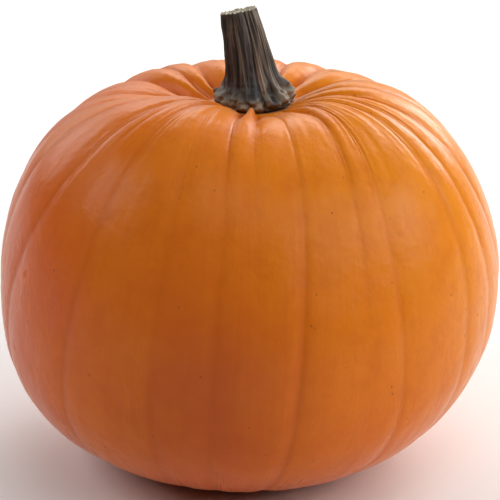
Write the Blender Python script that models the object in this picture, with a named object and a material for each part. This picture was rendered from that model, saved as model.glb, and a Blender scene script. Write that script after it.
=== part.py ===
"""A field pumpkin as it is picked: the ribbed fruit and its dry, woody stem.

Run it with blender --background --python part.py, or from Blender's text editor.
Metres, +Z up. The front faces -Y, and the origin is on the ground below the fruit's middle.
"""
import bpy
import numpy as np
from math import pi, radians

MM = 0.001

# The fruit's body: the line that its rib crests follow from the stem down to the blossom end
RADIUS = 151.5 * MM             # at the widest ring, over the crests
CROWN_RISE = 122 * MM           # from the widest ring up to the crown, before its dish
BASE_DROP = 121.5 * MM          # from the widest ring down to where the base would end
CROWN_FULLNESS = (3.65, 1.66)   # how square the upper half is, across and up
BASE_FULLNESS = (2.00, 2.57)    # the same for the lower half
DISH_DEPTH = 18.6 * MM           # the hollow in the crown, where the stem sits
DISH_SPREAD = 44 * MM
DIMPLE_DEPTH = 17 * MM          # the hollow round the blossom end, before the base flattened
DIMPLE_SPREAD = 26 * MM
SCAR_RADIUS = 9 * MM            # the dry button that the blossom left
SCAR_HEIGHT = 2.5 * MM
SCAR_CLEAR = 40 * MM            # the creases are at full depth again this far from its middle
FOOT_FLAT = 8.5 * MM            # how much the fruit's own weight has flattened its base
FOOT_PRESS = 0.4 * MM           # how far the crests are pressed flat between the creases there
LEAN = 0.4                      # degrees that the body leans to the left, above its foot
SEAT_SHIFT = 6.3 * MM           # the stem grows this far to the right of the body's axis
SEAT_SHIFT_SPREAD = 75 * MM

# The creases between the ribs, as bearings in degrees: 0 is the front, + is to the right.
# Each has a bearing beside the stem, on the shoulder, at the widest ring and at the foot,
# then its depth in mm at the first three. The deep ones fade out below the crown, and the
# shallow ones run on down to the foot.
CREASES = (
    (-178, -181, -182, -180, 4.5, 1.2, 1.1),
    (-148, -161, -165, -164, 3.6, 1.2, 1.2),
    (-136, -149, -153, -152, 2.0, 0.5, 0.4),
    (-123, -135, -140, -138, 7.0, 1.5, 1.3),
    (-98, -110, -118, -118, 3.5, 0.9, 0.8),
    (-80, -92, -100, -100, 2.5, 0.7, 0.8),
    (-61, -75, -86, -85, 2.8, 0.6, 0.8),
    (-44, -52, -71, -73, 1.2, 0.5, 0.8),
    (-31, -34, -42, -46, 1.2, 0.4, 0.6),
    (-21, -17, -19, -20, 0.0, 0.3, 0.5),
    (-8, -5, -6, -10, 4.5, 0.3, 0.5),
    (4.5, 3, 3, -3, 4.5, 0.2, 0.1),
    (20, 16, 12, 5, 1.6, 0.4, 0.85),
    (42, 32, 28, 22, 3.0, 0.35, 0.1),
    (50, 40, 38, 31, 0.8, 0.35, 0.5),
    (57, 63, 62, 57, 0.6, 0.45, 0.45),
    (64, 71, 75, 68, 0.5, 0.6, 0.5),
    (71, 81, 88, 86, 3.5, 0.9, 0.9),
    (88, 98, 104, 103, 2.2, 0.6, 0.6),
    (111, 121, 121, 119, 5.0, 1.3, 1.2),
    (140, 145, 142, 140, 4.5, 1.2, 1.1),
    (160, 163, 162, 160, 4.5, 1.2, 1.0),
)
STEM_RING = 42 * MM             # the distances from the axis where the table is read
SHOULDER_RING = 120 * MM
FOOT_RING = 80 * MM
FADE_RING = 72 * MM             # the folds that the stem has drawn together fade fast to here
FADE_SHARE = 0.25               # and have this share left of what they lose by the shoulder
FOOT_DEPTH = 0.8                # a crease's depth at the foot, against the widest ring
CREASE_WIDTH = 2.2 * MM         # half the width of a crease
CREASE_SHARE = 0.07             # and the share of its rib's width that is added to that
RIB_CROWN = 0.6                 # how far a rib swells out, against its creases' depth

# The narrow ridge of rind that rises against the front of the stem's collar
TONGUE_BEARING = -1.0           # degrees
TONGUE_HEIGHT = 3.3 * MM
TONGUE_WIDTH = 2.7 * MM         # half its width
TONGUE_AT = 32 * MM             # how far from the axis it is highest
TONGUE_LENGTH = 13 * MM         # half its length

# Slow swells that keep the body from being a turned shape: mm, waves round, waves down, phase
SWELLS = ((2.2, 1, 1.8, -1.8), (2.6, 2, 0.0, 1.3), (3.3, 3, -0.85, 3.2))

# The low place in the crown behind the stem
BACK_DROP = 2.8 * MM            # the crown is this much lower behind the stem
BACK_BEARING = -172             # degrees
BACK_NARROWNESS = 14            # the low place fades within about 40 degrees
BACK_RING = 85 * MM             # how far from the axis it is lowest
BACK_LENGTH = 32 * MM           # half its length down the fruit

GROUND = FOOT_FLAT - BASE_DROP  # the ground's height, measured from the widest ring

# How finely the fruit is faceted
COLUMN_WIDTH = 4.3              # degrees, as the mean along the widest ring
FEWEST_COLUMNS = 4              # in a narrow rib
COLUMN_CROWDING = 0.09          # how far the columns are drawn towards the creases
CREST_STEPS = 6001              # points that the crest line is measured by
ROW_STRETCHES = ((12, 24, 3), (27, 62, 8), (70, 380, 28))   # mm along the crest line, rows
FOOT_ROWS = (64, 56, 48, 40, 32, 25, 19, 13, 8)             # mm before the blossom end

# The stem, as heights above its seat and radii in mm, from the knuckled collar to the cut
STEM_OUTLINE = (
    (0.0, 21.0), (1.6, 24.0), (4.2, 25.2), (7.2, 23.7), (10.0, 20.4), (13.0, 17.5),
    (17.0, 15.7), (23.5, 14.4), (31.0, 13.6), (39.5, 12.6), (48.0, 11.5), (55.4, 10.5),
)
COLLAR_RING = 22 * MM           # the outline's heights start at the seat's height this far out
STEM_BEND = (-9.0, 1.5)         # mm that the cut end leans, to the right and to the back
CUT_SLOPE = (0.20, -0.17)       # how the cut face rises to the right and to the front
CUT_HOLLOW = 1.2 * MM           # the dry pith has sunk this far below the cut rim
CUT_RIM = 0.72                  # the radius of the pith, against the rim's
STEM_FURROWS = (-163, -122, -86, -54, -26, -6, 17, 42, 74, 112, 155)   # degrees round the stem
FURROW_DEPTH = 0.09             # of the radius, narrow, between the shaft's ridges
KNUCKLE_DEPTH = 0.15            # the same at the collar, where the ridges end in round knuckles
STEM_COLUMNS_PER_RIDGE = 6
STEM_GAP = 0.3 * MM             # clear space between the stem and the fruit's seat
SHARP_EDGE = 50                 # degrees between two faces that meet in a crisp edge
SEAT_CLEAR = 22 * MM            # the seat stays smooth as far out as this
FOLDS_FULL = 33 * MM            # and the folds round it are at full depth from here


def smooth_step(value, start, end):
    """0 before start, 1 after end, with a smooth rise between."""
    share = np.clip((value - start) / (end - start), 0, 1)
    return share * share * (3 - 2 * share)


def crest_line(turn):
    """Radius and height of the crests, by the turn from the stem (0) to the blossom end (pi)."""
    upper = turn < pi / 2
    across = np.where(upper, CROWN_FULLNESS[0], BASE_FULLNESS[0])
    along = np.where(upper, CROWN_FULLNESS[1], BASE_FULLNESS[1])
    radius = RADIUS * np.clip(np.sin(turn), 0, 1) ** (2 / across)
    reach = np.abs(np.cos(turn)) ** (2 / along)
    dish = DISH_DEPTH * np.exp(-(radius / DISH_SPREAD) ** 2)
    dimple = DIMPLE_DEPTH * np.exp(-(radius / DIMPLE_SPREAD) ** 2)
    scar = SCAR_HEIGHT * np.exp(-(radius / SCAR_RADIUS) ** 4)
    base = np.maximum(-BASE_DROP * reach + dimple, GROUND - FOOT_PRESS) - scar
    return radius, np.where(upper, CROWN_RISE * reach - dish, base)


# The crest line measured by its own length, so that rows can be placed along it in metres
fine_turn = pi * smooth_step(np.linspace(0, 1, CREST_STEPS), 0, 1)
fine_radius, fine_height = crest_line(fine_turn)
fine_length = np.concatenate(
    ([0], np.cumsum(np.hypot(np.diff(fine_radius), np.diff(fine_height))))
)
fine_run, fine_rise = np.gradient(fine_radius), np.gradient(fine_height)
LENGTH = fine_length[-1]
WIDEST_AT = np.interp(pi / 2, fine_turn, fine_length)


def crest_at(distance):
    """Radius, height and outward direction of the crests, this far down from the stem."""
    radius, height = crest_line(np.interp(distance, fine_length, fine_turn))
    out = -np.interp(distance, fine_length, fine_rise)
    up = np.interp(distance, fine_length, fine_run)
    size = np.hypot(out, up)
    return radius, height, out / size, up / size


def ring_distance(radius, upper):
    """How far down the crest line a ring of this radius is, above or below the widest one."""
    half = fine_length <= WIDEST_AT if upper else fine_length >= WIDEST_AT
    radii, lengths = fine_radius[half], fine_length[half]
    if not upper:
        radii, lengths = radii[::-1], lengths[::-1]
    return float(np.interp(radius, radii, lengths))


STATIONS = np.array([
    ring_distance(STEM_RING, True),
    ring_distance(SHOULDER_RING, True),
    WIDEST_AT,
    ring_distance(FOOT_RING, False),
])
crease_table = np.array(CREASES)
crease_table = np.vstack([crease_table, crease_table[0] + (360, 360, 360, 360, 0, 0, 0)])
crease_curves = np.linalg.solve(np.vander(STATIONS, 4), np.radians(crease_table[:, :4]).T)


def crease_bearings(distance):
    """Bearing of every crease at each distance: a smooth curve through the table's four."""
    return np.vander(np.clip(distance, STATIONS[0], STATIONS[-1]), 4) @ crease_curves


def crease_depths(distance):
    """Depth of every crease at each distance, in metres."""
    stops = [STATIONS[0], ring_distance(FADE_RING, True), *STATIONS[1:], LENGTH]
    return np.array([
        np.interp(distance, stops, [
            near, shoulder + FADE_SHARE * (near - shoulder), shoulder, widest,
            FOOT_DEPTH * widest, 0,
        ])
        for near, shoulder, widest in crease_table[:, 4:] * MM
    ]).T


def above_foot(distance):
    """1 on the crown and the sides, falling to 0 at the foot, which sits flat."""
    return 1 - smooth_step(distance, WIDEST_AT, STATIONS[-1])


def relief(radius, distance, rib, across, left, right):
    """How far the rind lies below the crests: its creases, and its ribs' rounded crowns."""
    width = radius[:, None] * (right - left)
    reach = CREASE_WIDTH + CREASE_SHARE * width
    depths = crease_depths(distance)
    near_left = depths[:, rib] * np.exp(-(width * across / reach) ** 1.5)
    near_right = depths[:, rib + 1] * np.exp(-(width * (1 - across) / reach) ** 1.5)
    nearest = np.where(across < 0.5, depths[:, rib], depths[:, rib + 1])
    crown = RIB_CROWN * nearest * (2 * across - 1) ** 2
    return near_left + near_right + crown


def tongue(radius, bearing, distance):
    """How far the ridge in front of the stem's collar stands above the crests."""
    aside = radius[:, None] * (bearing - radians(TONGUE_BEARING)) / TONGUE_WIDTH
    along = np.exp(-((distance - ring_distance(TONGUE_AT, True)) / TONGUE_LENGTH) ** 2)
    return TONGUE_HEIGHT * np.exp(-aside ** 2) * (along * (distance < WIDEST_AT))[:, None]


def swell(bearing, distance):
    """The slow unevenness of the whole body, with a low place at the back of the crown."""
    total = np.zeros_like(bearing)
    for size, around, down, phase in SWELLS:
        wave = np.cos(around * bearing + 2 * pi * down * distance[:, None] / LENGTH + phase)
        total += size * MM * wave
    far = np.exp(BACK_NARROWNESS * (np.cos(bearing - radians(BACK_BEARING)) - 1))
    crown = np.exp(-((distance - ring_distance(BACK_RING, True)) / BACK_LENGTH) ** 2)
    return total - BACK_DROP * far * crown[:, None]


def lean_and_place(out, bearing, height, distance):
    """Points from their distance off the axis, bearing and height, with the body's lean."""
    shift = SEAT_SHIFT * np.exp(-(out / SEAT_SHIFT_SPREAD) ** 2) * (distance < WIDEST_AT)
    x = out * np.sin(bearing) + shift
    y = -out * np.cos(bearing)
    z = height * np.ones_like(x)
    turn = radians(LEAN) * above_foot(distance)
    return np.stack(
        [x * np.cos(turn) - z * np.sin(turn), y, x * np.sin(turn) + z * np.cos(turn)], -1
    )


def rind(rib, across, distance):
    """The rind's points, a row for each distance and a column for each place across a rib."""
    edges = crease_bearings(distance)
    left, right = edges[:, rib], edges[:, rib + 1]
    bearing = left + (right - left) * across
    radius, height, out, up = crest_at(distance)
    below = relief(radius, distance, rib, across, left, right)
    below -= swell(bearing, distance) * above_foot(distance)[:, None]
    below -= tongue(radius, bearing, distance)
    folded = np.where(distance < WIDEST_AT, smooth_step(radius, SEAT_CLEAR, FOLDS_FULL), 1)
    scarred = np.where(distance > WIDEST_AT, smooth_step(radius, SCAR_RADIUS, SCAR_CLEAR), 1)
    below *= (folded * scarred)[:, None]
    points = lean_and_place(
        radius[:, None] - below * out[:, None],
        bearing,
        height[:, None] - below * up[:, None],
        distance[:, None],
    )
    points[..., 2] = np.maximum(points[..., 2] - GROUND, 0)
    return points


def fruit_columns():
    """Rib number and place across it for every column, closer together beside the creases."""
    ribs, places = [], []
    for rib, width in enumerate(np.diff(crease_table[:, 2])):
        count = max(FEWEST_COLUMNS, round(width / COLUMN_WIDTH))
        even = np.arange(count) / count
        ribs += [rib] * count
        places += list(even - COLUMN_CROWDING * np.sin(2 * pi * even))
    return np.array(ribs), np.array(places)


def fruit_rows():
    """Distances down the crest line, closer together round the stem and the blossom end."""
    stretches = [np.linspace(start, end, count) for start, end, count in ROW_STRETCHES]
    upper = np.concatenate(stretches) * MM
    lower = LENGTH - np.array(FOOT_ROWS) * MM
    return np.concatenate([upper[upper < lower[0] - 5 * MM], lower])


def seat(out, bearing):
    """Points on the smooth seat in the crown, where the stem stands."""
    distance = np.array([ring_distance(out, True)])
    radius, height, _, _ = crest_at(distance)
    return lean_and_place(radius, bearing, height, distance) - (0, 0, GROUND)


def seat_height(offset):
    """How far the seat is above its height below the collar, at each offset from the middle."""
    heights = []
    for x, y in offset:
        x += SEAT_SHIFT * (1 - np.exp(-((np.hypot(x, y) / SEAT_SHIFT_SPREAD) ** 2)))
        heights.append(seat(np.hypot(x, y), np.arctan2([x], [-y]))[0, 2] - collar_height())
    return np.array(heights)


def collar_height():
    """The seat's height below the collar, as the mean of its two sides."""
    return seat(COLLAR_RING, np.array([-pi / 2, pi / 2]))[:, 2].mean()


def stem_radius(share, between):
    """The stem's radius against its outline's, by height and by place between two furrows."""
    shaft = smooth_step(share, 0.05, 0.30)
    depth = KNUCKLE_DEPTH + (FURROW_DEPTH - KNUCKLE_DEPTH) * shaft
    sharpness = 1.0 + 0.6 * shaft
    return 1 - depth * (1 - np.sin(pi * between)) ** sharpness


def stem_points():
    """Rings of the stem from the collar's underside up to the cut, and the ring inside it."""
    furrows = np.radians([*STEM_FURROWS, STEM_FURROWS[0] + 360])
    steps = np.arange(STEM_COLUMNS_PER_RIDGE) / STEM_COLUMNS_PER_RIDGE
    bearing = np.concatenate([a + (b - a) * steps for a, b in zip(furrows, furrows[1:])])
    between = np.tile(steps, len(STEM_FURROWS))
    direction = np.stack([np.sin(bearing), -np.cos(bearing)], -1)
    middle = seat(0.0, np.zeros(1))[0]
    tall = STEM_OUTLINE[-1][0] * MM
    rings = []
    for outline_height, outline_radius in STEM_OUTLINE:
        share = outline_height * MM / tall
        radius = outline_radius * MM * stem_radius(share, between)
        bend = np.array(STEM_BEND) * MM * share ** 1.3
        offset = direction * radius[:, None]
        under = seat_height(offset) * (1 - smooth_step(share, 0, 0.25))
        slope = (offset @ np.array(CUT_SLOPE)) * smooth_step(share, 0.5, 1)
        height = collar_height() + STEM_GAP + outline_height * MM + under + slope
        rings.append(np.column_stack([middle[:2] + bend + offset, height]))
    rim = rings[-1]
    rim_middle = rim.mean(axis=0)
    inner = rim_middle + (rim - rim_middle) * CUT_RIM
    inner[:, 2] -= CUT_HOLLOW
    rings.append(inner)
    bottom = middle + (0, 0, STEM_GAP)
    top = rim_middle - (0, 0, CUT_HOLLOW)
    return np.array(rings), bottom, top


def closed_mesh(name, rings, first, last):
    """A closed mesh of rings that run round in order, with a point at each end."""
    rows, columns = rings.shape[:2]
    points = [first, *rings.reshape(-1, 3), last]
    faces = []
    for column in range(columns):
        following = (column + 1) % columns
        faces.append((0, 1 + following, 1 + column))
        for row in range(rows - 1):
            low, high = 1 + row * columns, 1 + (row + 1) * columns
            faces.append((low + column, low + following, high + following, high + column))
        end = 1 + (rows - 1) * columns
        faces.append((end + column, end + following, len(points) - 1))
    mesh = bpy.data.meshes.new(name)
    mesh.from_pydata([tuple(map(float, point)) for point in points], [], faces)
    mesh.validate()
    return mesh


def finish(name, hex_colour, roughness):
    """A plain surface finish from an sRGB colour."""
    material = bpy.data.materials.new(name)
    material.use_nodes = True
    shader = material.node_tree.nodes["Principled BSDF"]
    parts = [int(hex_colour[start:start + 2], 16) / 255 for start in (1, 3, 5)]
    linear = [part / 12.92 if part <= 0.04045 else ((part + 0.055) / 1.055) ** 2.4 for part in parts]
    shader.inputs["Base Color"].default_value = (*linear, 1)
    shader.inputs["Roughness"].default_value = roughness
    shader.inputs["Metallic"].default_value = 0
    return material


def place(name, mesh, material):
    """The object for one piece, shaded smooth except at real edges."""
    piece = bpy.data.objects.new(name, mesh)
    bpy.context.scene.collection.objects.link(piece)
    mesh.materials.append(material)
    mesh.shade_smooth()
    mesh.set_sharp_from_angle(angle=radians(SHARP_EDGE))
    return piece


def build():
    for old in list(bpy.data.objects):
        bpy.data.objects.remove(old)
    rib, across = fruit_columns()
    distance = fruit_rows()
    skin = rind(rib, across, distance)
    ends = rind(rib[:1], across[:1], np.array([0, LENGTH]))[:, 0]
    stem, stem_bottom, stem_top = stem_points()

    low, high = skin.min(axis=(0, 1)), skin.max(axis=(0, 1))
    centre = np.array([(low[0] + high[0]) / 2, (low[1] + high[1]) / 2, 0])
    fruit_mesh = closed_mesh("fruit", (skin - centre)[::-1], ends[1] - centre, ends[0] - centre)
    stem_mesh = closed_mesh("stem", stem - centre, stem_bottom - centre, stem_top - centre)
    place("fruit", fruit_mesh, finish("pumpkin_rind", "#d9711f", 0.38))
    place("stem", stem_mesh, finish("dry_woody_stem", "#5e5043", 0.8))


build()
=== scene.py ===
# %% [markdown]
# # A field pumpkin
# The object is one ripe pumpkin as it is picked: a ribbed orange fruit and the dry, woody stem
# that it hung from. This lesson dresses a model that is already built to size. The fruit and the
# stem are each made again here with far more faces, in exactly the place of the plain ones, and
# then get their skins. Nothing on a pumpkin moves, so every piece rides on the one body, `root`.

# %% Load the frame
from math import cos, pi, radians, sin

import bpy
import numpy as np
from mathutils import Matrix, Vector, noise
from mathutils.bvhtree import BVHTree


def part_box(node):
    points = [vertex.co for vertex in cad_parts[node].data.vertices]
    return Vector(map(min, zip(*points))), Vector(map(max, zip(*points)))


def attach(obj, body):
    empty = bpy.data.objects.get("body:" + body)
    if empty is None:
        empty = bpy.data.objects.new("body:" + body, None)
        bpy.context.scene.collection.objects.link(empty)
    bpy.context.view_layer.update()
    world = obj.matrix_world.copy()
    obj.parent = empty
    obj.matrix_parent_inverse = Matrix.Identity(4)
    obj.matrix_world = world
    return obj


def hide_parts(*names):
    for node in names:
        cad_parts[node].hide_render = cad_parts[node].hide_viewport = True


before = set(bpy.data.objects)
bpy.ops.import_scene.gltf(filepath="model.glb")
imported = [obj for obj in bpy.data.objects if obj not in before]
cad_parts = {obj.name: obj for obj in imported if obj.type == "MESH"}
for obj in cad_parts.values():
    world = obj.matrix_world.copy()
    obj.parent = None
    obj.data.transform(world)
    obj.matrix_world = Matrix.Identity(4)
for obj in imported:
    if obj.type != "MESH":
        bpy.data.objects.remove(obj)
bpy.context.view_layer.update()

MM = 0.001
BODY = "root"

# %% [markdown]
# ## Small helpers
# A maker of materials thinks in paint-chart colours, which are sRGB. Blender's shaders work in
# linear light, so one function turns the one into the other. A second adds a node with its
# settings and links in one line, which keeps every material short enough to read at a glance.


# %% Colours and nodes
def linear(hex_colour):
    """An sRGB hex colour as linear red, green, blue and alpha."""
    parts = [int(hex_colour[start:start + 2], 16) / 255 for start in (1, 3, 5)]
    return (*[p / 12.92 if p <= 0.04045 else ((p + 0.055) / 1.055) ** 2.4 for p in parts], 1.0)


def add(tree, kind, inputs=None, **settings):
    """A new node: its settings by name, and its inputs as numbers or other nodes' outputs."""
    node = tree.nodes.new(kind)
    for name, value in settings.items():
        setattr(node, name, value)
    for socket, value in (inputs or {}).items():
        if isinstance(value, bpy.types.NodeSocket):
            tree.links.new(value, node.inputs[socket])
        else:
            node.inputs[socket].default_value = value
    return node


def new_material(name):
    """An empty material with its Principled shader wired to the output."""
    material = bpy.data.materials.new(name)
    material.use_nodes = True
    tree = material.node_tree
    return material, tree, tree.nodes["Principled BSDF"]


def deselect_all():
    """Clear the selection, because an operator acts on everything that is selected."""
    if bpy.context.mode != "OBJECT":
        bpy.ops.object.mode_set(mode="OBJECT")
    bpy.ops.object.select_all(action="DESELECT")


print("helpers ready; pumpkin orange in linear light:", [round(v, 3) for v in linear("#e07b20")])

# %% [markdown]
# ## The camera
# A catalogue picture of one fruit is taken with a long lens from a little above, so that the
# ribs stay upright and the crown still shows. The lens here is long, and the camera stands
# 1.5 m away, 20.5 degrees above the level, and looks at a point just over the widest ring.

# %% Camera
CAMERA_DISTANCE = 1.5
CAMERA_RISE = radians(20.5)
CAMERA_LENS = 179.5          # mm, on a 36 mm sensor
LOOK_AT = Vector((-0.0003, 0.0019, 0.128))

camera_data = bpy.data.cameras.new("camera")
camera_data.sensor_width = 36
camera_data.lens = CAMERA_LENS
camera = bpy.data.objects.new("camera", camera_data)
bpy.context.scene.collection.objects.link(camera)
towards_camera = Vector((0, -cos(CAMERA_RISE), sin(CAMERA_RISE)))
camera.location = LOOK_AT + towards_camera * CAMERA_DISTANCE
camera.rotation_euler = towards_camera.to_track_quat("Z", "Y").to_euler()
bpy.context.scene.camera = camera
bpy.context.scene.view_settings.view_transform = "Standard"
print("camera at", [round(v, 3) for v in camera.location])

# %% [markdown]
# ## The line that the ribs follow
# Every rib of a pumpkin runs from the stem over the shoulder and round to the blossom end. That
# line could be drawn as a curve by hand, but a formula keeps the crown, the side and the foot
# smooth into one another: a squared-off ellipse above the widest ring and a rounder one below.
# Three hollows are then taken out of it: the dish in the crown, the dimple at the blossom end
# with its small dry scar, and the foot, which the fruit's own weight has pressed flat.

# %% Crest line
RADIUS = 151.5 * MM
CROWN_RISE = 122 * MM
BASE_DROP = 121.5 * MM
CROWN_FULLNESS = (3.65, 1.66)
BASE_FULLNESS = (2.00, 2.57)
DISH_DEPTH, DISH_SPREAD = 18.6 * MM, 44 * MM
DIMPLE_DEPTH, DIMPLE_SPREAD = 17 * MM, 26 * MM
SCAR_HEIGHT, SCAR_RADIUS, SCAR_CLEAR = 2.5 * MM, 9 * MM, 40 * MM
FOOT_FLAT, FOOT_PRESS = 8.5 * MM, 0.4 * MM
GROUND = FOOT_FLAT - BASE_DROP
CREST_STEPS = 6001


def smooth_step(value, start, end):
    """0 before start, 1 after end, with a smooth rise between."""
    share = np.clip((value - start) / (end - start), 0, 1)
    return share * share * (3 - 2 * share)


def crest_line(turn):
    """Radius and height of the crests, by the turn from the stem (0) to the blossom end (pi)."""
    upper = turn < pi / 2
    across = np.where(upper, CROWN_FULLNESS[0], BASE_FULLNESS[0])
    along = np.where(upper, CROWN_FULLNESS[1], BASE_FULLNESS[1])
    radius = RADIUS * np.clip(np.sin(turn), 0, 1) ** (2 / across)
    reach = np.abs(np.cos(turn)) ** (2 / along)
    dish = DISH_DEPTH * np.exp(-(radius / DISH_SPREAD) ** 2)
    dimple = DIMPLE_DEPTH * np.exp(-(radius / DIMPLE_SPREAD) ** 2)
    scar = SCAR_HEIGHT * np.exp(-(radius / SCAR_RADIUS) ** 4)
    base = np.maximum(-BASE_DROP * reach + dimple, GROUND - FOOT_PRESS) - scar
    return radius, np.where(upper, CROWN_RISE * reach - dish, base)


fine_turn = pi * smooth_step(np.linspace(0, 1, CREST_STEPS), 0, 1)
fine_radius, fine_height = crest_line(fine_turn)
fine_length = np.concatenate(
    ([0], np.cumsum(np.hypot(np.diff(fine_radius), np.diff(fine_height))))
)
fine_run, fine_rise = np.gradient(fine_radius), np.gradient(fine_height)
LENGTH = fine_length[-1]
WIDEST_AT = np.interp(pi / 2, fine_turn, fine_length)


def crest_at(distance):
    """Radius, height and outward direction of the crests, this far down from the stem."""
    radius, height = crest_line(np.interp(distance, fine_length, fine_turn))
    out = -np.interp(distance, fine_length, fine_rise)
    up = np.interp(distance, fine_length, fine_run)
    size = np.hypot(out, up)
    return radius, height, out / size, up / size


def ring_distance(radius, upper):
    """How far down the crest line a ring of this radius is, above or below the widest one."""
    half = fine_length <= WIDEST_AT if upper else fine_length >= WIDEST_AT
    radii, lengths = fine_radius[half], fine_length[half]
    if not upper:
        radii, lengths = radii[::-1], lengths[::-1]
    return float(np.interp(radius, radii, lengths))


print(f"a rib runs {LENGTH * 1000:.0f} mm from the stem to the blossom end")

# %% [markdown]
# ## The creases
# No two ribs are alike. Each crease here has a bearing at four places on its way down, so it can
# lean and bend as a grown one does, and a depth at three. Creases that start deep at the stem and
# fade out on the shoulder are the folds that the stem has drawn together. A smooth curve through
# the four bearings gives the crease its route. The body also swells slowly from place to place
# and lies low behind the stem, and one narrow tongue of rind rises against the collar's front.

# %% Creases
CREASES = (
    # bearings in degrees at the stem, the shoulder, the widest ring and the foot, then depths in mm
    # at the stem, the shoulder and the widest ring
    (-178, -181, -182, -180, 4.5, 1.2, 1.1),
    (-148, -161, -165, -164, 3.6, 1.2, 1.2),
    (-136, -149, -153, -152, 2.0, 0.5, 0.4),
    (-123, -135, -140, -138, 7.0, 1.5, 1.3),
    (-98, -110, -118, -118, 3.5, 0.9, 0.8),
    (-80, -92, -100, -100, 2.5, 0.7, 0.8),
    (-61, -75, -86, -85, 2.8, 0.6, 0.8),
    (-44, -52, -71, -73, 1.2, 0.5, 0.8),
    (-31, -34, -42, -46, 1.2, 0.4, 0.6),
    (-21, -17, -19, -20, 0.0, 0.3, 0.5),
    (-8, -5, -6, -10, 2.4, 0.3, 0.5),
    (4.5, 3, 3, -3, 1.8, 0.2, 0.1),
    (20, 16, 12, 5, 0.3, 0.4, 0.85),
    (42, 32, 28, 22, 2.0, 0.35, 0.1),
    (50, 40, 38, 31, 0.8, 0.35, 0.5),
    (57, 63, 62, 57, 0.6, 0.45, 0.45),
    (64, 71, 75, 68, 0.5, 0.6, 0.5),
    (71, 81, 88, 86, 3.5, 0.9, 0.9),
    (88, 98, 104, 103, 2.2, 0.6, 0.6),
    (111, 121, 121, 119, 5.0, 1.3, 1.2),
    (140, 145, 142, 140, 4.5, 1.2, 1.1),
    (160, 163, 162, 160, 4.5, 1.2, 1.0),
)
STEM_RING, FADE_RING, SHOULDER_RING, FOOT_RING = 42 * MM, 72 * MM, 120 * MM, 80 * MM
FADE_SHARE = 0.25
FOOT_DEPTH = 0.8
CREASE_WIDTH, CREASE_SHARE, CREASE_FALL = 2.2 * MM, 0.07, 1.5
RIB_CROWN = 0.6
# painted shade along the creases: its width beside a crease, and the crease depth at which it is full
CREASE_SHADE_WIDTH, CREASE_SHADE_FULL = 3.4 * MM, 0.8 * MM
SWELLS = (
    # height in mm, waves round the fruit, waves down it, and where they start
    (2.2, 1, 1.8, -1.8),
    (2.6, 2, 0.0, 1.3),
    (3.3, 3, -0.85, 3.2),
)
BACK_DROP, BACK_BEARING, BACK_NARROWNESS = 2.8 * MM, -172, 14
BACK_RING, BACK_LENGTH = 85 * MM, 32 * MM
SEAT_CLEAR, FOLDS_FULL = 22 * MM, 33 * MM
TONGUE_BEARING, TONGUE_HEIGHT, TONGUE_WIDTH = -1.5, 4.8 * MM, 2.6 * MM
TONGUE_AT, TONGUE_LENGTH = 29.5 * MM, 12 * MM
TONGUE_START, TONGUE_TIP = 24.8 * MM, 27.5 * MM
TAIL_SHARE, TAIL_LENGTH = 0.14, 60 * MM
SEAT_SHIFT, SEAT_SHIFT_SPREAD = 6.3 * MM, 75 * MM
LEAN = 0.4

STATIONS = np.array([
    ring_distance(STEM_RING, True),
    ring_distance(SHOULDER_RING, True),
    WIDEST_AT,
    ring_distance(FOOT_RING, False),
])
crease_table = np.array(CREASES)
crease_table = np.vstack([crease_table, crease_table[0] + (360, 360, 360, 360, 0, 0, 0)])
crease_curves = np.linalg.solve(np.vander(STATIONS, 4), np.radians(crease_table[:, :4]).T)


def crease_bearings(distance):
    """Bearing of every crease at each distance: a smooth curve through the table's four."""
    return np.vander(np.clip(distance, STATIONS[0], STATIONS[-1]), 4) @ crease_curves


def crease_depths(distance):
    """Depth of every crease at each distance, in metres."""
    fade_at = ring_distance(FADE_RING, True)
    stops = [STATIONS[0], fade_at, *STATIONS[1:], LENGTH]
    return np.array([
        np.interp(distance, stops, [
            near, shoulder + FADE_SHARE * (near - shoulder), shoulder, widest, FOOT_DEPTH * widest, 0])
        for near, shoulder, widest in crease_table[:, 4:] * MM
    ]).T


def above_foot(distance):
    """1 on the crown and the sides, falling to 0 at the foot, which sits flat."""
    return 1 - smooth_step(distance, WIDEST_AT, STATIONS[-1])


def relief(radius, distance, rib, across, left, right):
    """How far the rind lies below the crests, and how much painted shade from a crease it takes."""
    width = radius[:, None] * (right - left)
    reach = CREASE_WIDTH + CREASE_SHARE * width
    depths = crease_depths(distance)
    near_left = depths[:, rib] * np.exp(-(width * across / reach) ** CREASE_FALL)
    near_right = depths[:, rib + 1] * np.exp(-(width * (1 - across) / reach) ** CREASE_FALL)
    nearest = np.where(across < 0.5, depths[:, rib], depths[:, rib + 1])
    crown = RIB_CROWN * nearest * (2 * across - 1) ** 2
    # painted shade darkens the rind along each crease, more where the crease is deep
    off_crease = width * np.minimum(across, 1 - across) / CREASE_SHADE_WIDTH
    shade_in_crease = (nearest / CREASE_SHADE_FULL).clip(0, 1) * np.exp(-off_crease ** 2)
    return near_left + near_right + crown, shade_in_crease


def swell(bearing, distance):
    """The slow unevenness of the whole body, with a low place at the back of the crown."""
    total = np.zeros_like(bearing)
    for size, around, down, phase in SWELLS:
        wave = np.cos(around * bearing + 2 * pi * down * distance[:, None] / LENGTH + phase)
        total += size * MM * wave
    far = np.exp(BACK_NARROWNESS * (np.cos(bearing - radians(BACK_BEARING)) - 1))
    crown = np.exp(-((distance - ring_distance(BACK_RING, True)) / BACK_LENGTH) ** 2)
    return total - BACK_DROP * far * crown[:, None]


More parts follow.
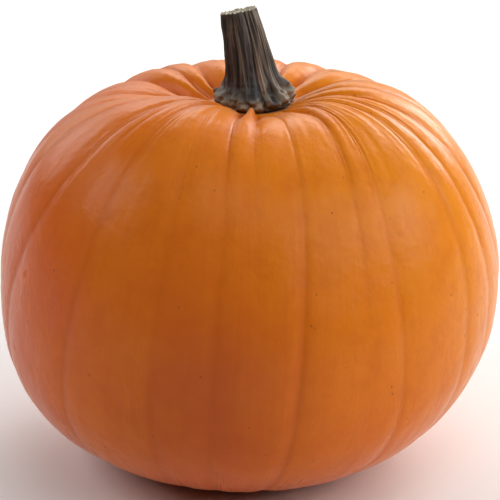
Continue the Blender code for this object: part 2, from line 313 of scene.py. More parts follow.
def tongue(radius, bearing, distance):
    """The narrow ridge of rind against the collar's front, with its low tail down the shoulder."""
    aside = radius[:, None] * (bearing - radians(TONGUE_BEARING)) / TONGUE_WIDTH
    past = distance - ring_distance(TONGUE_AT, True)
    along = np.exp(-(past / TONGUE_LENGTH) ** 2) + TAIL_SHARE * np.exp(-(past / TAIL_LENGTH) ** 2)
    along *= (distance < WIDEST_AT) * smooth_step(radius, TONGUE_START, TONGUE_TIP)
    return TONGUE_HEIGHT * np.exp(-np.abs(aside) ** 3) * along[:, None]


print(len(CREASES), "creases; the deepest starts", max(c[4] for c in CREASES), "mm deep beside the stem")

# %% [markdown]
# ## Fine wrinkles and lumps
# Between the creases the rind isn't smooth. Fine wrinkles run along each rib, strongest where the
# stem has drawn the skin together, and the whole skin is a little lumpy. Both are real relief,
# because they break up the reflections at the rim of the fruit. Drawn by hand, hundreds of
# wrinkles would look combed. Here they lie where a stretched noise passes through zero, on a drum
# that is counted in ribs and not in degrees, so they wander, and bend with the creases.

# %% Wrinkles and lumps
WRINKLE_SPACING, WRINKLE_STRETCH, WRINKLE_EDGE = 4.2 * MM, 16, 0.16
WRINKLE_AT_STEM, WRINKLE_AT_BELLY = 0.80 * MM, 0.05 * MM
WRINKLE_FULL, WRINKLE_GONE = 70 * MM, 165 * MM
WIDE_SPACING = 2.4 * WRINKLE_SPACING
WIDE_SHARE, NARROW_SHARE = 0.7, 0.65
LUMP_HEIGHT, LUMP_SIZE = 0.35 * MM, 26 * MM
BUMP_HEIGHT, BUMP_SIZE = 0.10 * MM, 6 * MM
DRUM_RADIUS = 151 * MM
RANDOM = np.random.default_rng(11)


def drum(rib, across, distance):
    """A place on a drum unrolled along the ribs: its height is the way down from the stem."""
    turn, down = np.meshgrid(2 * pi * (rib + across) / len(CREASES), distance)
    return np.stack([DRUM_RADIUS * np.cos(turn), DRUM_RADIUS * np.sin(turn), down], -1)


def noise_at(points, size, offset=0.0):
    """Perlin noise for an array of points, with cells of this size."""
    flat = points.reshape(-1, 3) / size + offset
    return np.array([noise.noise(Vector(p)) for p in flat]).reshape(points.shape[:-1])


def wrinkles(rib, across, distance):
    """Depth of the fine wrinkles that run along the ribs, sharp below and round between."""
    places = drum(rib, across, distance) * (1, 1, 1 / WRINKLE_STRETCH)
    wide = np.exp(-np.abs(noise_at(places, WIDE_SPACING)) / WRINKLE_EDGE)
    narrow = np.exp(-np.abs(noise_at(places, WRINKLE_SPACING, 5.0)) / WRINKLE_EDGE)
    fade = 1 - smooth_step(distance, WRINKLE_FULL, WRINKLE_GONE)
    deep = WRINKLE_AT_BELLY + (WRINKLE_AT_STEM - WRINKLE_AT_BELLY) * fade
    return (WIDE_SHARE * wide + NARROW_SHARE * narrow) * deep[:, None]


def lumps(points):
    """Soft unevenness of the skin, the same all round."""
    return LUMP_HEIGHT * noise_at(points, LUMP_SIZE) + BUMP_HEIGHT * noise_at(points, BUMP_SIZE, 7.0)


deepest_wrinkle = WRINKLE_AT_STEM * (WIDE_SHARE + NARROW_SHARE)
print(f"wrinkles up to {deepest_wrinkle * 1000:.1f} mm deep beside the stem")

# %% [markdown]
# ## The fruit
# A sphere already has what this fruit needs: rings that run round it and lines that run from pole
# to pole. So a sphere is added with as many lines as the ribs ask for, and every point is then
# carried to its place: its line says which rib it is on and how far across, and its ring says
# how far down the crest line it lies. The lines crowd together at the creases, where the form
# turns most sharply, and the poles stay closed because they were closed to start with.

# %% Fruit columns and rows
COLUMN_STEP = 0.8            # degrees between lines, as the mean along the widest ring
FEWEST_COLUMNS = 12
COLUMN_CROWDING = 0.09
RINGS = 200


def fruit_columns():
    """Rib number and place across it for every line, closer together beside the creases."""
    ribs, places = [], []
    for rib, width in enumerate(np.diff(crease_table[:, 2])):
        count = max(FEWEST_COLUMNS, round(width / COLUMN_STEP))
        even = np.arange(count) / count
        ribs += [rib] * count
        places += list(even - COLUMN_CROWDING * np.sin(2 * pi * even))
    return np.array(ribs), np.array(places)


rib, across = fruit_columns()
distance = np.linspace(0, LENGTH, RINGS + 1)
distance[0], distance[-1] = 1e-6, LENGTH - 1e-6
print(len(rib), "lines by", RINGS, "rings:", 2 * len(rib) * (RINGS - 1), "triangles")


# %% Shape the fruit
def lean_and_place(out, bearing, height, distance):
    """Points from their distance off the axis, bearing and height, with the body's lean."""
    shift = SEAT_SHIFT * np.exp(-(out / SEAT_SHIFT_SPREAD) ** 2) * (distance < WIDEST_AT)
    x = out * np.sin(bearing) + shift
    y = -out * np.cos(bearing)
    z = height * np.ones_like(x)
    turn = radians(LEAN) * above_foot(distance)
    return np.stack(
        [x * np.cos(turn) - z * np.sin(turn), y, x * np.sin(turn) + z * np.cos(turn)], -1
    )


def rind(rib, across, distance, fine=True):
    """The rind's points, and how much painted shade from a crease each of them takes."""
    edges = crease_bearings(distance)
    left, right = edges[:, rib], edges[:, rib + 1]
    bearing = left + (right - left) * across
    radius, height, out, up = crest_at(distance)
    below, crease_shade = relief(radius, distance, rib, across, left, right)
    below -= swell(bearing, distance) * above_foot(distance)[:, None]
    folded = np.where(distance < WIDEST_AT, smooth_step(radius, SEAT_CLEAR, FOLDS_FULL), 1)
    scarred = np.where(distance > WIDEST_AT, smooth_step(radius, SCAR_RADIUS, SCAR_CLEAR), 1)
    if fine:
        rough = lean_and_place(radius[:, None], bearing, height[:, None], distance[:, None])
        below += wrinkles(rib, across, distance) + lumps(rough) + LUMP_HEIGHT / 2
    below *= (folded * scarred)[:, None]
    below -= tongue(radius, bearing, distance)
    points = lean_and_place(
        radius[:, None] - below * out[:, None],
        bearing,
        height[:, None] - below * up[:, None],
        distance[:, None],
    )
    points[..., 2] = np.maximum(points[..., 2] - GROUND, 0)
    return points, crease_shade * (folded * scarred)[:, None]


def centred(points):
    """The points with the body's middle over the origin, where the plain fruit has it."""
    plain, _ = rind(rib, across, distance, fine=False)
    low, high = plain.min(axis=(0, 1)), plain.max(axis=(0, 1))
    box_low, box_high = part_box("fruit")
    shift = [(box_low[k] + box_high[k] - low[k] - high[k]) / 2 for k in (0, 1)]
    return points + (shift[0], shift[1], 0), shift


deselect_all()
bpy.ops.mesh.primitive_uv_sphere_add(segments=len(rib), ring_count=RINGS, radius=1)
fruit = bpy.context.object
fruit.name = "ribbed_fruit"
ball = np.empty(len(fruit.data.vertices) * 3)
fruit.data.vertices.foreach_get("co", ball)
ball = ball.reshape(-1, 3)
ring = np.rint(np.arccos(np.clip(ball[:, 2], -1, 1)) / pi * RINGS).astype(int)
line = np.rint(np.arctan2(ball[:, 1], ball[:, 0]) / (2 * pi) * len(rib)).astype(int) % len(rib)
skin, crease_shade = rind(rib, across, distance)
skin, centre_shift = centred(skin)
skin[0], skin[-1] = skin[0].mean(axis=0), skin[-1].mean(axis=0)
fruit.data.vertices.foreach_set("co", skin[ring, line].ravel())
fruit.data.update()
bpy.ops.object.shade_smooth()
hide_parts("fruit")
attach(fruit, BODY)
print("fruit:", len(fruit.data.polygons), "faces")

# %% [markdown]
# ## Does the fine fruit match the plain one?
# The plain fruit is what the physics uses, so the two have to agree. Every hundredth point of the
# fine skin is measured to the nearest place on the plain solid.


# %% Measure the fruit against the plain one
def tree_of(name):
    """A search tree over a plain node's mesh."""
    mesh = bpy.data.objects[name].data
    faces = [tuple(face.vertices) for face in mesh.polygons]
    return BVHTree.FromPolygons([vertex.co for vertex in mesh.vertices], faces)


def print_distance(piece, name, step):
    """How far a fine piece is from the plain node that it stands for."""
    tree = tree_of(name)
    gaps = [tree.find_nearest(vertex.co)[3] * 1000 for vertex in list(piece.data.vertices)[::step]]
    print(f"{piece.name}: {np.mean(gaps):.2f} mm from the plain {name}, {max(gaps):.2f} at most")


print_distance(fruit, "fruit", 100)

# %% [markdown]
# ## Marks for the rind's colour
# The rind's colour follows its form. Painted shade makes it darker down in the
# creases, its streaks run along the ribs, each rib has its own tone, and the blossom scar is
# corky. The side towards the lamps is painted yellower as painted light and the side away from
# them redder as painted shade, and a patch of painted shade darkens the belly. So the mesh carries
# these as attributes, one value for each point. `grain` is a place on a drum that is
# unrolled along the ribs: round the drum is round the fruit, and its height is the way down from
# the stem, so a pattern on it bends with each rib.

# %% Fruit attributes
# painted light and shade: the rind is painted yellower on the side that faces this way, towards the lamps,
# and redder on the side away
PAINTED_LIGHT_TOWARDS = np.array([0.75, 0.15, 0.65])
# painted shade: the middle and the size of a darker, browner patch on the belly
SHADE_PATCH_AT, SHADE_PATCH_SIZE = (-28 * MM, -145 * MM, 92 * MM), 52 * MM
TONE_BLEND = 0.2             # share of a rib's width over which its tone meets the next rib's


def point_attribute(piece, name, kind, values):
    """Store one value for each point of a piece."""
    attribute = piece.data.attributes.new(name, kind, "POINT")
    field = "vector" if kind == "FLOAT_VECTOR" else "value"
    attribute.data.foreach_set(field, np.asarray(values, dtype=np.float32).ravel())


down = distance[ring]
grain = drum(rib, across, distance)[ring, line]
rib_tone = RANDOM.uniform(0, 1, len(CREASES))
before = 0.5 * (1 - smooth_step(across, 0, TONE_BLEND))
after = 0.5 * smooth_step(across, 1 - TONE_BLEND, 1)
tone = before * np.roll(rib_tone, 1)[rib] + after * np.roll(rib_tone, -1)[rib]
tone += (1 - before - after) * rib_tone[rib]
around_middle = (skin[ring, line] - (0, 0, RADIUS)) / RADIUS
# painted light and shade: 1 on the side towards the lamps, 0 on the side away
painted_lit_side = 0.5 + 0.5 * around_middle @ PAINTED_LIGHT_TOWARDS
# painted shade: the darker patch on the belly
painted_shade_patch = np.exp(-(np.linalg.norm(skin[ring, line] - SHADE_PATCH_AT, axis=1) / SHADE_PATCH_SIZE) ** 2)
point_attribute(fruit, "grain", "FLOAT_VECTOR", grain)
# painted shade along the creases
point_attribute(fruit, "crease_shade", "FLOAT", crease_shade[ring, line])
point_attribute(fruit, "down", "FLOAT", down / LENGTH)
point_attribute(fruit, "rib_tone", "FLOAT", tone[line])
point_attribute(fruit, "painted_lit_side", "FLOAT", painted_lit_side.clip(0, 1))
point_attribute(fruit, "painted_shade_patch", "FLOAT", painted_shade_patch)
print("attributes:", [a.name for a in fruit.data.attributes if not a.name.startswith(".")])

# %% [markdown]
# ## Rind
# A ripe pumpkin's rind is hard and waxy. The wax gives it a soft satin gloss that turns almost
# white where it is seen edge-on, and the orange below it is uneven: paler and yellower on some
# ribs, with faint streaks along them and tiny corky specks. Painted shade makes it redder and
# darker in the creases and in a patch on the belly, and painted light makes the side towards the
# lamps yellower. One layer of colour could hold only one of these. So the orange is built as a
# painter glazes, in thin layers, each with its own place on the fruit and the most that it may cover.

# %% Rind material
STREAK_WIDTH, STREAK_STRETCH = 2.2 * MM, 0.06
PATCH_SIZE, MOTTLE_SIZE = 55 * MM, 15 * MM
SPECK_SPACING = 9 * MM
PORE_SIZE, DENT_SIZE = 1.3 * MM, 7 * MM
WAVE_SHARE = 2.5             # a noise cell is this many times as wide as the marks seen in it


def rind_material():
    """Waxed, satin pumpkin skin."""
    material, tree, shader = new_material("waxed_pumpkin_rind")
    place = add(tree, "ShaderNodeTexCoord").outputs["Object"]
    grain = add(tree, "ShaderNodeAttribute", attribute_name="grain").outputs["Vector"]
    marks = {}
    for name in ("painted_lit_side", "painted_shade_patch", "rib_tone", "crease_shade", "down"):
        marks[name] = add(tree, "ShaderNodeAttribute", attribute_name=name).outputs["Fac"]

    along = add(tree, "ShaderNodeMapping", {"Vector": grain, "Scale": (1, 1, STREAK_STRETCH)}).outputs[0]
    noises = {}
    for name, where, size, detail, roughness in (
        ("patches", place, PATCH_SIZE, 3.0, 0.5),
        ("streaks", along, STREAK_WIDTH * WAVE_SHARE, 4.0, 0.5),
        ("mottle", place, MOTTLE_SIZE, 6.0, 0.62),
        ("pores", place, PORE_SIZE * WAVE_SHARE, 2.0, 0.5),
        ("dents", place, DENT_SIZE, 3.0, 0.5),
    ):
        inputs = {"Vector": where, "Scale": 1 / size, "Detail": detail, "Roughness": roughness}
        noises[name] = add(tree, "ShaderNodeTexNoise", inputs).outputs["Fac"]

    # a speck is a small dot in the middle of a cell, and only some of the cells have one
    cells = add(tree, "ShaderNodeTexVoronoi", {"Vector": place, "Scale": 1 / SPECK_SPACING}).outputs
    cell_tone = add(tree, "ShaderNodeSeparateColor", {"Color": cells["Color"]}).outputs[0]
    shares = []
    for value, low, high in ((cells["Distance"], 0.10, 0.055), (cell_tone, 0.62, 0.7)):
        inputs = {"Value": value, "From Min": low, "From Max": high}
        shares.append(add(tree, "ShaderNodeMapRange", inputs, interpolation_type="SMOOTHSTEP").outputs[0])
    specks = add(tree, "ShaderNodeMath", {0: shares[0], 1: shares[1]}, operation="MULTIPLY").outputs[0]

    # the blossom scar is the last few millimetres of the way down from the stem
    inputs = {"Value": marks["down"], "From Min": 0.976, "From Max": 0.984}
    scar = add(tree, "ShaderNodeMapRange", inputs, interpolation_type="SMOOTHSTEP").outputs[0]
    inputs = {0: noises["streaks"], 6: linear("#6b5138"), 7: linear("#a58a62")}
    cork = add(tree, "ShaderNodeMix", inputs, data_type="RGBA").outputs[2]

    # the redder orange of the side away from the lamps, painted shade that the painted light below turns
    # yellower
    colour = linear("#da6022")
    for value, low, high, most, over, rise in (
        # what the layer follows, where it starts and is full, the most it covers, and its colour
        # painted light: the side towards the lamps is yellower
        (marks["painted_lit_side"], 0.1, 1.0, 1.0, linear("#ef8f0c"), "SMOOTHSTEP"),
        # painted shade: the patch on the belly is darker and browner
        (marks["painted_shade_patch"], 0.0, 1.0, 0.55, linear("#b2452a"), "LINEAR"),
        (noises["patches"], 0.35, 0.65, 0.25, linear("#ea7c11"), "SMOOTHSTEP"),
        (marks["rib_tone"], 0.0, 1.0, 0.22, linear("#ee8c18"), "LINEAR"),
        (noises["streaks"], 0.50, 0.72, 0.12, linear("#cf580b"), "SMOOTHSTEP"),
        (noises["streaks"], 0.46, 0.28, 0.10, linear("#f08a24"), "SMOOTHSTEP"),
        (noises["mottle"], 0.42, 0.70, 0.22, linear("#c8560e"), "SMOOTHSTEP"),
        # painted shade: the creases are darker and redder
        (marks["crease_shade"], 0.0, 1.0, 0.30, linear("#b84c0d"), "SMOOTHSTEP"),
        (specks, 0.0, 1.0, 0.55, linear("#6f3512"), "LINEAR"),
        (scar, 0.0, 1.0, 1.0, cork, "LINEAR"),
    ):
        inputs = {"Value": value, "From Min": low, "From Max": high, "To Max": most}
        amount = add(tree, "ShaderNodeMapRange", inputs, interpolation_type=rise).outputs[0]
        colour = add(tree, "ShaderNodeMix", {0: amount, 6: colour, 7: over}, data_type="RGBA").outputs[2]

    # the wax is a little duller along the streaks, and the scar is dull all over
    inputs = {"Value": noises["streaks"], "From Min": 0.3, "From Max": 0.7, "To Min": 0.27, "To Max": 0.38}
    waxed = add(tree, "ShaderNodeMapRange", inputs, interpolation_type="SMOOTHSTEP").outputs[0]
    gloss = add(tree, "ShaderNodeMath", {0: scar, 1: 0.4, 2: waxed}, operation="MULTIPLY_ADD").outputs[0]

    inputs = {"Height": noises["pores"], "Distance": 0.1 * MM, "Strength": 0.35}
    bump = add(tree, "ShaderNodeBump", inputs).outputs[0]
    for height, deep, strength in ((noises["dents"], 0.7 * MM, 0.6), (noises["streaks"], 0.3 * MM, 0.2)):
        inputs = {"Height": height, "Distance": deep, "Strength": strength, "Normal": bump}
        bump = add(tree, "ShaderNodeBump", inputs).outputs[0]

    tree.links.new(colour, shader.inputs["Base Color"])
    tree.links.new(gloss, shader.inputs["Roughness"])
    tree.links.new(bump, shader.inputs["Normal"])
    shader.inputs["IOR"].default_value = 1.25
    shader.inputs["Sheen Weight"].default_value = 0.15
    shader.inputs["Sheen Roughness"].default_value = 0.30
    shader.inputs["Subsurface Weight"].default_value = 0.06
    shader.inputs["Subsurface Radius"].default_value = (1.0, 0.35, 0.1)
    shader.inputs["Subsurface Scale"].default_value = 4 * MM
    return material


fruit.data.materials.clear()
fruit.data.materials.append(rind_material())
print("rind:", fruit.data.materials[0].name)

# %% [markdown]
# ## The stem
# A dry pumpkin stem is a bundle of hard ridges with deep furrows between them. At its foot each
# ridge swells into a knuckle, and the knuckles together make the collar that grips the crown. By
# hand it is drawn up from a ring: the ring is extruded a little at a time and scaled to the
# stem's outline, which gives a plain turned post. The post is then carved: every point moves in
# by the depth of the furrow it lies in, and fine fibres are scored along the whole of it.

# %% Stem outline
STEM_OUTLINE = (
    # height and radius, in mm
    (0.0, 21.0), (1.6, 24.0), (4.2, 25.2), (7.2, 23.7), (10.0, 20.4), (13.0, 17.5),
    (17.0, 15.7), (23.5, 14.4), (31.0, 13.6), (39.5, 12.6), (48.0, 11.5), (55.4, 10.5),
)
COLLAR_RING = 22 * MM
STEM_BEND = (-9.0 * MM, 1.5 * MM)
CUT_SLOPE = (0.20, -0.17)
CUT_HOLLOW, CUT_RIM = 1.2 * MM, 0.72
STEM_FURROWS = (-163, -122, -86, -54, -26, -6, 17, 42, 74, 112, 155)
FURROW_DEPTH, KNUCKLE_DEPTH = 0.09, 0.15
STEM_GAP = 0.3 * MM
STEM_SIDES = 320
STEM_STEP = 0.42 * MM
STEM_TALL = STEM_OUTLINE[-1][0] * MM
SHARP_FOOT = 1.5 * MM        # below this the outline isn't smoothed


def seat(out, bearing):
    """Points on the smooth seat in the crown, where the stem stands."""
    away = np.array([ring_distance(out, True)])
    radius, height, _, _ = crest_at(away)
    point = lean_and_place(radius, bearing, height, away) - (0, 0, GROUND)
    return point + (centre_shift[0], centre_shift[1], 0)


def outline_radius(height):
    """The stem's outer radius at a height, by a smooth curve through its outline."""
    heights, radii = np.array(STEM_OUTLINE).T * MM
    if height < SHARP_FOOT:
        return float(np.interp(height, heights, radii))
    return float(np.mean([np.interp(height + k * MM, heights, radii) for k in (-1, -0.5, 0, 0.5, 1)]))


seat_middle = seat(0.0, np.zeros(1))[0]
collar_height = seat(COLLAR_RING, np.array([-pi / 2, pi / 2]))[:, 2].mean()
print("the stem stands at", [round(v, 4) for v in seat_middle], "its collar at", round(collar_height, 4))

# %% Draw the stem up from a ring
CUT_RINGS = (1.0, 0.97, 0.93, 0.88, 0.82, 0.75, 0.67, 0.58, 0.48, 0.37, 0.25, 0.12)

deselect_all()
bpy.ops.mesh.primitive_circle_add(
    vertices=STEM_SIDES, radius=outline_radius(0), fill_type="NOTHING", enter_editmode=True
)
stem = bpy.context.object
stem.name = "woody_stem"
bpy.ops.mesh.extrude_region_move(TRANSFORM_OT_translate={"value": (0, 0, 0)})
bpy.ops.mesh.merge(type="CENTER")
bpy.ops.mesh.select_all(action="DESELECT")
bpy.ops.mesh.select_non_manifold()
heights = np.linspace(0, STEM_TALL, int(round(STEM_TALL / STEM_STEP)) + 1)
for low, high in zip(heights, heights[1:]):
    bpy.ops.mesh.extrude_region_move(TRANSFORM_OT_translate={"value": (0, 0, high - low)})
    scale = outline_radius(high) / outline_radius(low)
    bpy.ops.transform.resize(value=(scale, scale, 1), center_override=(0, 0, high))
for wide, narrow in zip(CUT_RINGS, CUT_RINGS[1:]):
    bpy.ops.mesh.extrude_region_move(TRANSFORM_OT_translate={"value": (0, 0, 0)})
    scale = narrow / wide
    bpy.ops.transform.resize(value=(scale, scale, 1), center_override=(0, 0, STEM_TALL))
bpy.ops.mesh.extrude_region_move(TRANSFORM_OT_translate={"value": (0, 0, 0)})
bpy.ops.mesh.merge(type="CENTER")
bpy.ops.mesh.select_all(action="SELECT")
bpy.ops.mesh.normals_make_consistent(inside=False)
bpy.ops.object.mode_set(mode="OBJECT")
print("stem post:", len(stem.data.polygons), "faces")

# %% [markdown]
# ## Carving the stem
# No two furrows are alike: each has its own depth, and all of them wander a little on the way up.
# Fine fibres run along the shaft. The knuckles are lumpy, and one at the right stands higher than
# the others. The cut end is ragged where the fibres tore, and the pith inside it has sunk.

# %% Carve the stem
FURROW_STRENGTH = (1.0, 0.9, 1.1, 0.6, 1.2, 0.8, 1.3, 0.7, 1.2, 1.5, 1.0)
RIDGE_SIZE = (0.00, -0.02, 0.01, -0.03, 0.00, 0.03, -0.01, 0.02, 0.05, 0.03, 0.00)
HIGH_KNUCKLE, HIGH_KNUCKLE_SIZE = 8, 3.4 * MM
HIGH_KNUCKLE_AT, HIGH_KNUCKLE_REACH = 11 * MM, 4.5 * MM
SHAFT_FURROWS, KNUCKLE_SHARE = 0.55, 0.75
FURROW_WANDER, WANDER_SIZE = radians(5), 20 * MM
FIBRE_DRUM, FIBRE_LENGTHS = 13 * MM, 12
FIBRE_HEIGHT, FIBRE_SIZE = 0.80 * MM, 5.0 * MM
FINE_FIBRE_HEIGHT, FINE_FIBRE_SIZE = 0.45 * MM, 1.7 * MM
KNOT_HEIGHT, KNOT_SIZE, KNOT_LENGTHS = 0.8 * MM, 8 * MM, 2
COLLAR_LUMP, COLLAR_LUMP_SIZE, COLLAR_DRAWN_IN = 4.4 * MM, 6.5 * MM, 0.8 * MM
SMALL_LUMP, SMALL_LUMP_SIZE = 2.8 * MM, 3.4 * MM
SPLINTER_HEIGHT, CRUMB_HEIGHT, TORN_SIZE = 0.8 * MM, 0.9 * MM, 1.6 * MM
SEAT_SHARE = 0.25            # share of the stem's height that bends to the seat's slope
MOST_PROUD = 0.3 * MM

post = np.array([vertex.co[:] for vertex in stem.data.vertices])
out = np.hypot(post[:, 0], post[:, 1])
bearing = np.arctan2(post[:, 0], -post[:, 1])
height = post[:, 2].copy()
share = height / STEM_TALL
top = height > STEM_TALL - 1e-6
base = (height < 1e-6) & (out < 1e-6)
inward = np.where(top, out / outline_radius(STEM_TALL), 1.0)
shaft = smooth_step(share, 0.05, 0.30)
collar = 1 - smooth_step(share, 0.10, 0.30)
fibre_place = np.column_stack([FIBRE_DRUM * np.cos(bearing), FIBRE_DRUM * np.sin(bearing), height])


def fibre_noise(size, stretch, offset):
    """Noise on the post, stretched along it."""
    return noise_at(fibre_place * (1, 1, 1 / stretch), size, offset)


def between_furrows(turned):
    """Which ridge each bearing is on, and how far across it from one furrow to the next."""
    furrows = np.radians([*STEM_FURROWS, STEM_FURROWS[0] + 360])
    wrapped = (turned - furrows[0]) % (2 * pi) + furrows[0]
    ridge = np.clip(np.searchsorted(furrows, wrapped, side="right") - 1, 0, len(STEM_FURROWS) - 1)
    return ridge, (wrapped - furrows[ridge]) / (furrows[ridge + 1] - furrows[ridge])


wander = FURROW_WANDER * fibre_noise(WANDER_SIZE, 1.0, 2.0) * shaft
ridge, between = between_furrows(bearing + wander)
strength = np.array([*FURROW_STRENGTH, FURROW_STRENGTH[0]])
nearest = np.where(between < 0.5, strength[ridge], strength[ridge + 1])
hump = np.sin(pi * between)
furrow = (1 - hump) ** (1 + 0.6 * shaft) * inward ** 3
knuckled = KNUCKLE_SHARE * KNUCKLE_DEPTH
depth = (knuckled + (SHAFT_FURROWS * FURROW_DEPTH - knuckled) * shaft) * nearest
factor = 1 - depth * furrow + np.array(RIDGE_SIZE)[ridge] * hump ** 2 * inward

fibres = FIBRE_HEIGHT * (1 - 2.5 * np.abs(fibre_noise(FIBRE_SIZE, FIBRE_LENGTHS, 3.0)))
fibres += FINE_FIBRE_HEIGHT * (1 - 2.5 * np.abs(fibre_noise(FINE_FIBRE_SIZE, FIBRE_LENGTHS, 9.0)))
lumpy = COLLAR_LUMP * noise_at(post, COLLAR_LUMP_SIZE, 20.0)
lumpy += SMALL_LUMP * noise_at(post, SMALL_LUMP_SIZE, 30.0)
relief_out = fibres * (0.35 + 0.65 * shaft) - FIBRE_HEIGHT + (lumpy - COLLAR_DRAWN_IN) * collar
relief_out += KNOT_HEIGHT * fibre_noise(KNOT_SIZE, KNOT_LENGTHS, 50.0) * shaft
off_knuckle = (height - HIGH_KNUCKLE_AT) / HIGH_KNUCKLE_REACH
high = HIGH_KNUCKLE_SIZE * np.exp(-off_knuckle ** 2) * hump ** 1.5
relief_out += np.where(ridge == HIGH_KNUCKLE, high, 0)
relief_out *= smooth_step(height, 0.2 * MM, 3 * MM)
carved = out * factor + np.where(top, relief_out * inward, relief_out)
carved = np.where(base, 0, carved)

# %% Place the carved stem
plan = np.column_stack([np.sin(bearing), -np.cos(bearing)]) * carved[:, None]
bend = np.array(STEM_BEND) * (share ** 1.3)[:, None]
under = np.zeros(len(post))
for k in np.flatnonzero(share < SEAT_SHARE):
    x, y = plan[k]
    x += SEAT_SHIFT * (1 - np.exp(-((np.hypot(x, y) / SEAT_SHIFT_SPREAD) ** 2)))
    under[k] = seat(np.hypot(x, y), np.arctan2([x], [-y]))[0, 2] - collar_height
under *= 1 - smooth_step(share, 0, SEAT_SHARE)
slope = (plan @ np.array(CUT_SLOPE)) * smooth_step(share, 0.5, 1)
flat = np.column_stack([plan, np.zeros(len(plan))])
torn = noise_at(flat, TORN_SIZE, 5.0) + 0.6 * noise_at(flat, TORN_SIZE / 2, 8.0)
ragged = smooth_step(share, 0.95, 1.0) * smooth_step(inward, 0.5, 0.95) * torn * SPLINTER_HEIGHT
sunk = np.where(top, CUT_HOLLOW * (1 - smooth_step(inward, CUT_RIM, 0.97)), 0)
crumbs = np.where(top, CRUMB_HEIGHT * noise_at(post, TORN_SIZE, 40.0), 0)
rise = collar_height + STEM_GAP + height + under + slope + ragged - sunk + crumbs
placed = np.column_stack([seat_middle[:2] + bend + plan, rise])
plain_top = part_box("stem")[1][2]
placed[:, 2] = np.minimum(placed[:, 2], plain_top + MOST_PROUD)
stem.data.vertices.foreach_set("co", placed.ravel())
stem.data.update()
bpy.ops.object.shade_smooth()
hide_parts("stem")
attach(stem, BODY)
print_distance(stem, "stem", 60)

# %% [markdown]
# ## Marks for the stem's colour
# The stem's ridges didn't dry alike: some are pale, some nearly black, and one at the front has
# gone slate grey. Painted light and shade lie on top: the ridges on the right, towards the lamps,
# are painted paler and those on the left darker. The colour can't tell ridges apart by place
# alone, because they wander, so each point carries its own ridge's paleness and painted light,
# with how deep in a furrow and how far up it is.

# %% Stem attributes
# each ridge's own paleness with painted light and shade on top: ridges on the right, towards the lamps,
# paler, and those on the left darker
RIDGE_PALENESS_AND_LIGHT = (0.5, 0.3, 0.05, 0.0, 0.1, 0.3, 0.9, 0.7, 0.6, 0.8, 0.2)
SLATE_RIDGE = 5
# painted shade: how deep in a furrow, which the colour darkens
point_attribute(stem, "furrow", "FLOAT", furrow * nearest.clip(0.6, 1.2))
point_attribute(stem, "up", "FLOAT", share)
point_attribute(stem, "cut", "FLOAT", np.where(top, 1.0, 0.0))
point_attribute(stem, "fibre", "FLOAT_VECTOR", fibre_place)
# each ridge's own paleness with painted light and shade
point_attribute(stem, "pale_and_lit", "FLOAT", np.array(RIDGE_PALENESS_AND_LIGHT)[ridge])
point_attribute(stem, "slate", "FLOAT", np.where(ridge == SLATE_RIDGE, 1.0, 0.0))
print("attributes:", [a.name for a in stem.data.attributes if not a.name.startswith(".")])

# %% [markdown]
# ## Stem wood
# The stem dries to a hard, corky wood. It has no gloss to speak of. Weather has greyed its fibres,
# most on the pale ridges, which are also the ridges painted paler as painted light. The furrows
# are painted nearly black as painted shade, and so is the foot of the collar where it meets the
# rind. The cut end is pale and fibrous. Its colour is laid in layers as the rind's is, with streaks
# that are stretched along the fibres.

# %% Stem material
FIBRE_WIDTH, FIBRE_STRETCH = 0.75 * MM, 0.07
BAND_WIDTH, BLOTCH_SIZE = 6 * MM, 8 * MM


